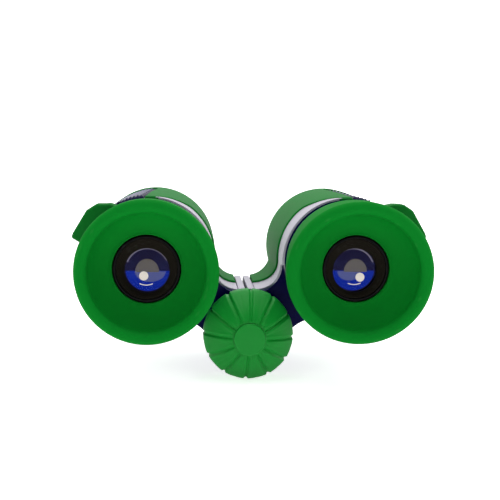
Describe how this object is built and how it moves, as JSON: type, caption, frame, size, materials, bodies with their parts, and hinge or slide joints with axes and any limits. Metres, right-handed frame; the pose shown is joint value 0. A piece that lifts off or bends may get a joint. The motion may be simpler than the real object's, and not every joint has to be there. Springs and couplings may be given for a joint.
{
  "type": "folding binoculars",
  "caption": "Compact centre-hinge binoculars with wide rubber eyecups, a petalled focus knob between the barrels and rubber armour.",
  "frame": {"origin": "middle of the whole object's box at rest", "axes": "+Y is the look direction, from the eyepieces to the objectives; +X to the user's right; +Z away from the hinge and knob side"},
  "size_m": [0.1136, 0.087, 0.0584],
  "materials": {
    "navy_plastic": "glossy moulded plastic",
    "green_rubber": "matt moulded rubber",
    "lug_rubber": "matt moulded rubber",
    "silver_trim": "satin silver paint",
    "blue_grip": "ribbed rubber",
    "knob_green": "satin moulded plastic",
    "black_plastic": "matt black",
    "lens_glass": "polished and coated",
    "prism_glass": "polished",
    "spring_steel": "rolled",
    "steel": "turned",
    "brass": "turned",
    "nylon": "natural",
    "grey_plastic": "moulded, glass filled"
  },
  "bodies": {
    "left_half": {"left_body": "navy_plastic", "left_armour": "green_rubber", "left_trim": "silver_trim", "left_grip": "blue_grip", "left_strap_lug": "lug_rubber", "left_eyecup": "green_rubber", "left_collar": "navy_plastic", "left_eyepiece_tube": "black_plastic", "left_eye_lens_ring": "black_plastic", "left_eye_lens": "lens_glass", "left_lens_spacer": "black_plastic", "left_field_lens": "lens_glass", "left_field_stop": "black_plastic", "left_prism_holder": "black_plastic", "left_roof_prism": "prism_glass", "left_half_prism": "prism_glass", "left_prism_spring": "spring_steel", "hinge_axle": "steel", "hinge_washers": "nylon", "hinge_end_cap": "navy_plastic", "hinge_end_screw": "steel", "knob_bush": "brass"},
    "right_half": {"right_body": "navy_plastic", "right_armour": "green_rubber", "right_trim": "silver_trim", "right_grip": "blue_grip", "right_strap_lug": "lug_rubber", "right_prism_holder": "black_plastic", "right_roof_prism": "prism_glass", "right_half_prism": "prism_glass", "right_prism_spring": "spring_steel"},
    "focus_knob": {"focus_knob": "knob_green", "knob_cap": "knob_green", "knob_screw": "steel", "focus_screw": "steel", "screw_clip": "spring_steel"},
    "left_focus": {"focus_carriage": "grey_plastic", "left_focus_arm": "grey_plastic", "left_arm_screw": "steel", "left_objective_cell": "black_plastic", "left_objective_lens": "lens_glass", "left_objective_ring": "black_plastic"},
    "right_focus": {"right_focus_arm": "grey_plastic", "right_arm_screw": "steel", "right_objective_cell": "black_plastic", "right_objective_lens": "lens_glass", "right_objective_ring": "black_plastic"},
    "diopter": {"diopter_ring": "navy_plastic"},
    "right_eyepiece": {"right_eyecup": "green_rubber", "right_eyepiece_tube": "black_plastic", "right_eye_lens_ring": "black_plastic", "right_eye_lens": "lens_glass", "right_lens_spacer": "black_plastic", "right_field_lens": "lens_glass", "right_field_stop": "black_plastic"}
  },
  "joints": [
    {"name": "fold", "type": "hinge", "parent": "left_half", "child": "right_half", "pos_m": [0, 0.0065, -0.0149], "axis": [0, 1, 0], "range_deg": [-1.8, 30.8]},
    {"name": "focus_turn", "type": "hinge", "parent": "left_half", "child": "focus_knob", "pos_m": [0, -0.0185, -0.0149], "axis": [0, 1, 0], "range_deg": [-180, 180]},
    {"name": "left_focus_travel", "type": "slide", "parent": "left_half", "child": "left_focus", "axis": [0, 1, 0], "range_m": [-0.0015, 0.0015]},
    {"name": "right_focus_travel", "type": "slide", "parent": "right_half", "child": "right_focus", "axis": [0, 1, 0], "range_m": [-0.0015, 0.0015]},
    {"name": "diopter_turn", "type": "hinge", "parent": "right_half", "child": "diopter", "pos_m": [0.031, -0.0193, 0.0081], "axis": [0, 1, 0], "range_deg": [-40, 40]},
    {"name": "diopter_travel", "type": "slide", "parent": "diopter", "child": "right_eyepiece", "axis": [0, 1, 0], "range_m": [-0.001, 0.001]}
  ],
  "couplings": [
    {"joint": "left_focus_travel", "follows": "focus_turn", "m_per_rad": 0.000477},
    {"joint": "right_focus_travel", "follows": "focus_turn", "m_per_rad": 0.000477},
    {"joint": "diopter_travel", "follows": "diopter_turn", "m_per_rad": 0.00143}
  ]
}
